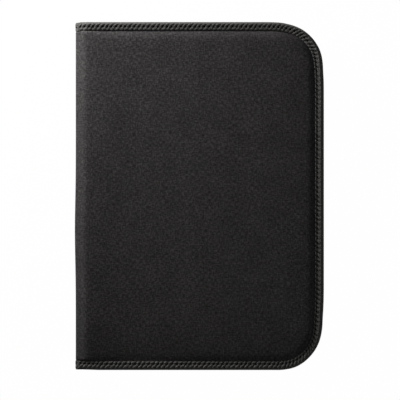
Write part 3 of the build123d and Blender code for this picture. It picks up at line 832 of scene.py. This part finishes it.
def stitch_shape(middle, along, up, length, radius):
    """One stitch: a thread that comes up out of the cloth, lies on it and goes down again."""
    sides = 6
    offsets = np.array([-0.5, -0.44, -0.25, 0, 0.25, 0.44, 0.5]) * length
    rises = np.array([-2.6, -0.8, 0.3, 0.5, 0.3, -0.8, -2.6]) * radius
    widths = np.array([0.7, 1, 1, 1, 1, 1, 0.7]) * radius
    across = np.cross(along, up)
    points, flat = [], []
    for offset, rise, width in zip(offsets, rises, widths):
        for k in range(sides):
            turn = 2 * math.pi * k / sides
            spot = middle + along * offset + up * rise
            points.append(spot + width * (across * math.cos(turn) + up * math.sin(turn)))
            flat.append((offset, k * radius))
    return points, tube_faces(len(offsets), sides), flat


def stitch_row(name, parts, side):
    """One object from stitches that lie below a cover's outer face, as points, faces and flat places."""
    points, faces, flat = [], [], []
    for part_points, part_faces, part_flat in parts:
        start = len(points)
        points.extend(part_points)
        flat.extend(part_flat)
        faces.extend(tuple(start + i for i in face) for face in part_faces)
    row = make_object(name, place(points, side), faces, flat, THREAD, 50)
    return row


def seam_stitches(name, stations, places, seam, facing, side):
    """Row of stitches along the rim, at the inset and depth that the seam has at each station.

    Facing is -1 on the outside of a cover and 1 on the inside.
    """
    along = stations[0]
    parts = []
    for spot in places:
        point, inward, through = (at_length(spot, along, part) for part in stations[1:])
        inset, depth = at_length(spot, along, seam)
        middle = point + inset * inward + depth * through
        ahead = unit(np.cross(inward, through))
        length = STITCH_SHARE * STITCH_PITCH
        parts.append(stitch_shape(middle, ahead, facing * unit(through), length, STITCH_RADIUS))
    fold_with(stitch_row(name, parts, side))


# Section of the zip tape as inset and depth: sewn foot, bend, standing tape and corded edge
ZIP_SECTION = np.array([
    (1.0, 3.02), (4.5, 3.02), *arc((7.6, 3.72), 0.7, -90, 0), (8.3, 6.5),
    *arc((8.0, 10.2), 0.8, -68, 248, 14),
    (7.7, 6.5), *arc((7.4, 3.88), 0.3, 0, -90, 3), (4.5, 3.58), (1.0, 3.58),
]) * MM


def zip_tape(side):
    """Tape that comes out of the binding and stands up to its corded edge."""
    stations = rim_stations(ZIP_STEP, start_x=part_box(side + "_zip_tape")[0].x)
    along = stations[0]
    flat, width = tape_places(along, ZIP_SECTION)
    tape = swept(side + "_zip_cloth", side, stations, ZIP_SECTION[None], flat, ZIP_TAPE)
    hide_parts(side + "_zip_tape")
    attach(tape, side + "_cover")


# Panels sewn inside the covers

def panel_rows(foot, top, edge):
    """Heights of a panel's rows, closer at its foot and top and round the corners."""
    if foot is None:
        lower = -CORNER_Y - (CORNER - edge) * np.sin(np.radians(np.linspace(90, 0, 25)))
    else:
        lower = foot + np.array([0, 0.5, 1.2, 2.2, 3.5]) * MM
    near_top = top - np.array([0, 0.4, 1, 2, 4, 8, 11, 12, 13]) * MM
    middle = spaced(lower[-1], near_top[-1], 4 * MM)[1:-1]
    return np.concatenate([lower, middle, near_top[::-1]])


def sewn_panel(name, side, left, right, foot, top, base, thickness, raised, shoulder, edge):
    """Cloth panel sewn down at its sides and foot and open at its top, with a hem there.

    Without right and foot it follows the rounded outline of the cover at the given edge inset.
    The panel stands on base, measured as depth, and swells by raised inside its shoulders.
    """
    y = panel_rows(foot, top, edge)
    ends = open_edge(y, edge) if right is None else np.full(len(y), right)
    near = np.array([0, 0.5, 1.2, 2.2, 3.5, 5.5, 8]) * MM
    width = ends.max() - left
    inner = spaced(near[-1], width - near[-1], 5 * MM)[1:-1]
    share = np.concatenate([near, inner, (width - near)[::-1]]) / width
    x = left + np.outer(ends - left, share)
    rows = np.repeat(y[:, None], x.shape[1], axis=1)
    if right is None:
        from_seam = np.minimum(inset_of(x, rows) - edge, x - left)
    else:
        from_seam = np.minimum(np.minimum(x - left, right - x), rows - foot)
    swell = raised * ramp(from_seam, 0, shoulder)
    rim = thickness * (1 - SEAM_PRESS * np.exp(-np.maximum(from_seam, 0) / PRESS_REACH))
    hem = HEM_RISE * ramp(rows, top - HEM, top - HEM + HEM_STEP)
    sag = SAG * soft_waves(SAG_SCALE * x, SAG_SCALE * rows) * ramp(from_seam, 0, SAG_REACH)
    upper = grid(x, rows, base + rim + swell + hem + sag)
    lower = grid(x, rows, base + PANEL_GAP + swell)
    panel = closed_sheet(name, side, upper, lower, upper[..., :2], POCKET_CLOTH)
    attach(panel, side + "_cover")
    return panel


def line_of_stitches(name, side, path, depth):
    """Row of stitches along a path of x, y points, on the inside of a cover."""
    path = np.array(path, float)
    along = path_lengths(path)
    up = np.array([0, 0, 1.0])
    parts = []
    for spot in np.arange(POCKET_PITCH / 2, along[-1], POCKET_PITCH):
        here = at_length(spot, along, path)
        ahead = at_length(spot + 0.1 * MM, along, path)
        way = unit(np.append(ahead - here, 0.0))
        middle = np.append(here, depth)
        parts.append(stitch_shape(middle, way, up, POCKET_SHARE * POCKET_PITCH, POCKET_RADIUS))
    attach(stitch_row(name, parts, side), side + "_cover")


def seam_path(left, right, foot, top, edge):
    """Path down the left side, along the foot and up the right side of a panel."""
    left = left + SEAM_MARGIN
    if right is None:
        inset = edge + SEAM_MARGIN
        corner = arc((CORNER_X, -CORNER_Y), CORNER - inset, -90, 0, 24)
        return [(left, top), (left, inset - HALF_HEIGHT), *corner, (OPEN_X - inset, top)]
    right, foot = right - SEAM_MARGIN, foot + SEAM_MARGIN
    return [(left, top), (left, foot), (right, foot), (right, top)]


def pocket(node, side, base, thickness, raised, shoulder, edge=None):
    """Pocket panel in the place of a node, with its seams and hem stitched."""
    low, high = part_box(node)
    follows = edge is not None
    right, foot = (None, None) if follows else (high.x, low.y)
    edge = edge or 0
    panel = sewn_panel(
        node + "_panel", side, low.x, right, foot, high.y, base, thickness, raised, shoulder, edge
    )
    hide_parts(node)
    seam = seam_path(low.x, right, foot, high.y - SEAM_TOP, edge)
    line_of_stitches(node + "_seam_stitches", side, seam, base + SEAM_HEIGHT * thickness)
    last = open_edge(np.array([high.y]), edge)[0] if follows else high.x
    for number, drop in enumerate(HEM_SEAMS):
        hem = [(low.x + HEM_END, high.y - drop), (last - HEM_END, high.y - drop)]
        depth = base + thickness + raised + HEM_RISE
        line_of_stitches(f"{node}_hem_stitches_{number}", side, hem, depth)


def inner_panels():
    """Sleeve of the pad and the pockets of the front cover."""
    edge = OPEN_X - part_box("document_pocket")[1].x
    pocket_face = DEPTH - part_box("document_pocket")[0].z
    card_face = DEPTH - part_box("upper_card_pocket")[0].z
    pocket("document_pocket", "front", INSIDE, 0.7 * MM, pocket_face - INSIDE - 1.0 * MM, 6 * MM, edge)
    for node in ("upper_card_pocket", "lower_card_pocket"):
        pocket(node, "front", pocket_face - 0.1 * MM, 0.5 * MM, card_face - pocket_face - 0.7 * MM, 4 * MM)
    sleeve_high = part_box("pad_sleeve")[1]
    sleeve = 0.6 * MM
    raised = sleeve_high.z - INSIDE - sleeve - HEM_RISE
    pocket("pad_sleeve", "back", INSIDE, sleeve, raised, 2.5 * MM, OPEN_X - sleeve_high.x)


# Writing pad

def paper_block():
    """Sheets of the pad in small uneven groups, the top one ruled."""
    low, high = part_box("pad_paper_block")
    groups, slack, gap = 22, 0.25 * MM, 0.02 * MM
    lift = (high.z - low.z) / groups
    quads = [(3, 2, 1, 0), (4, 5, 6, 7), (0, 1, 5, 4), (1, 2, 6, 5), (2, 3, 7, 6), (3, 0, 4, 7)]
    corners = [(low.x, low.y), (high.x, low.y), (high.x, high.y), (low.x, high.y)]
    points, faces, flat = [], [], []
    for group in range(groups):
        shift_x = CHANCE.uniform(-slack, slack)
        shift_y = -CHANCE.uniform(0, slack)
        top = group == groups - 1
        bottom = low.z + group * lift
        start = len(points)
        for z in (bottom, bottom + lift - gap * (not top)):
            for x, y in corners:
                points.append((x + shift_x * (not top), y + shift_y * (not top), z))
                flat.append((x - low.x, high.y - y))
        faces.extend(tuple(start + i for i in quad) for quad in quads)
    block = make_object("writing_paper", points, faces, flat, PAPER_EDGE, 20)
    block.data.materials.append(RULED)
    for face in block.data.polygons:
        face.material_index = int(face.normal.z > 0.9 and face.center.z > high.z - 0.5 * lift)
    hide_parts("pad_paper_block")
    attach(block, "back_cover")


def pen_loop():
    """Ribbed elastic loop, drawn in a little between its edges, with its sewn foot."""
    low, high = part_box("pen_loop")
    wall = 0.9 * MM
    rib_size, rib_pitch = 0.08 * MM, 1.25 * MM
    edge_width, edge_drop = 0.6 * MM, 0.3 * MM
    cloth_step, row_step, count = 0.8 * MM, 0.3 * MM, 48
    foot_share, flare_span = 0.62, (0.62, 0.92)
    radius = (high.x - low.x) / 2
    centre = Vector(((low.x + high.x) / 2, 0, high.z - radius))
    turns = np.radians(np.linspace(-90, 270, count + 1))[:-1]
    outer = np.stack([radius * np.cos(turns), radius * np.sin(turns)], axis=1)
    inner = outer * (radius - wall) / radius
    flare = foot_share * radius * ramp(-outer[:, 1] / radius, *flare_span)
    flare *= np.sign(np.round(outer[:, 0], 9))
    outer[:, 0] = np.where(np.abs(flare) > np.abs(outer[:, 0]), flare, outer[:, 0])
    y = spaced(low.y, high.y, row_step)
    rib = rib_size * np.cos(2 * math.pi * (y - low.y) / rib_pitch)
    edge = ramp(np.minimum(y - low.y, high.y - y), 0, edge_width)
    points, flat = [], []
    for height, ridge, full in zip(y, rib, edge):
        swell = 1 + (ridge - edge_drop * (1 - full)) / radius
        for spot, (x, z) in enumerate(np.concatenate([outer * swell, inner])):
            points.append((centre.x + x, height, max(centre.z + z, low.z)))
            flat.append((spot % count * cloth_step, height))
    faces = []
    for row in range(len(y) - 1):
        for k in range(count):
            a = row * 2 * count + k
            b = row * 2 * count + (k + 1) % count
            faces.append((a, b, b + 2 * count, a + 2 * count))
            faces.append((b + count, a + count, a + 3 * count, b + 3 * count))
    last = (len(y) - 1) * 2 * count
    for k in range(count):
        n = (k + 1) % count
        faces.append((n, k, k + count, n + count))
        faces.append((last + k, last + n, last + n + count, last + k + count))
    loop = make_object("pen_loop_elastic", points, faces, flat, ELASTIC, 50)
    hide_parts("pen_loop")
    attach(loop, "back_cover")


# Rigid pieces keep their solids, with softened edges

def finish_solid(node, material, bevel, segments=2, least_angle=35):
    solid = NODES[node]
    solid.data.materials.clear()
    solid.data.materials.append(material)
    soft = solid.modifiers.new("soft_edges", "BEVEL")
    soft.width = bevel
    soft.segments = segments
    soft.limit_method = "ANGLE"
    soft.angle_limit = math.radians(least_angle)


def rigid_pieces():
    for side in ("back", "front"):
        finish_solid(side + "_zip_teeth", TEETH, 0.12 * MM)
        finish_solid(side + "_zip_stops", METAL, 0.2 * MM)
    for node in ("zip_slider_body", "zip_slider_bridge", "zip_pull_tab"):
        finish_solid(node, METAL, 0.22 * MM, 3)
    finish_solid("pad_backing_card", CARD, 0.15 * MM)
    finish_solid("pad_head_tape", HEAD_TAPE, 0.12 * MM)


# Room: floor, lamp and camera

def seen_directly(tree):
    """1 where a ray comes from the camera, a gloss or a glass, and 0 elsewhere."""
    rays = add_node(tree, "ShaderNodeLightPath").outputs
    seen = rays["Is Camera Ray"]
    for kind in ("Is Glossy Ray", "Is Transmission Ray"):
        seen = add_node(tree, "ShaderNodeMath", {0: seen, 1: rays[kind]}, operation="MAXIMUM").outputs[0]
    return seen


def floor():
    bpy.ops.mesh.primitive_plane_add(size=FLOOR_SIZE, location=(0, 0, 0))
    plane = bpy.context.object
    plane.name = "floor"
    material = bpy.data.materials.new("floor_white")
    tree = node_tree(material)
    tree.nodes.clear()
    matte = add_node(tree, "ShaderNodeBsdfDiffuse", {"Color": FLOOR_GREY})
    glow = add_node(tree, "ShaderNodeEmission")
    share = add_node(tree, "ShaderNodeMath", {0: seen_directly(tree), 1: FLOOR_GLOW}, operation="MULTIPLY")
    mix = add_node(tree, "ShaderNodeMixShader")
    for socket, source in zip(mix.inputs, (share, matte, glow)):
        feed(socket, source.outputs[0])
    add_node(tree, "ShaderNodeOutputMaterial", {0: mix.outputs[0]})
    plane.data.materials.append(material)


def world():
    made = bpy.data.worlds.new("studio")
    bpy.context.scene.world = made
    tree = node_tree(made)
    background = tree.nodes["Background"]
    feed(background.inputs["Color"], (1, 1, 1, 1))
    strength = add_node(tree, "ShaderNodeMapRange", {0: seen_directly(tree), 3: ROOM_LIGHT, 4: 1.0})
    feed(background.inputs["Strength"], strength.outputs[0])


def key_lamp():
    """Round lamp turned towards the origin."""
    data = bpy.data.lights.new("key", "AREA")
    data.shape = "DISK"
    data.size = KEY_SIZE
    data.energy = KEY_POWER
    made = add_object("key", data)
    made.location = KEY_PLACE
    made.rotation_mode = "QUATERNION"
    made.rotation_quaternion = (-Vector(KEY_PLACE)).to_track_quat("-Z", "Y")


def camera():
    """Straight down, far enough away to be almost parallel."""
    data = bpy.data.cameras.new("camera")
    data.lens = LENS
    data.sensor_width = SENSOR
    made = add_object("camera", data)
    aside = (IMAGE / 2 - CASE_PIXEL[0]) * PIXEL
    below = (CASE_PIXEL[1] - IMAGE / 2) * PIXEL
    made.location = (aside, below, SCALE_HEIGHT * DEPTH + IMAGE * PIXEL * LENS / SENSOR)
    bpy.context.scene.camera = made


for cover in ("back", "front"):
    cover_skin(cover)
    lining_sheet(cover)
    edge_binding(cover)
    zip_tape(cover)
inner_panels()
paper_block()
pen_loop()
rigid_pieces()

floor()
world()
key_lamp()
camera()
bpy.context.scene.view_settings.view_transform = "Standard"
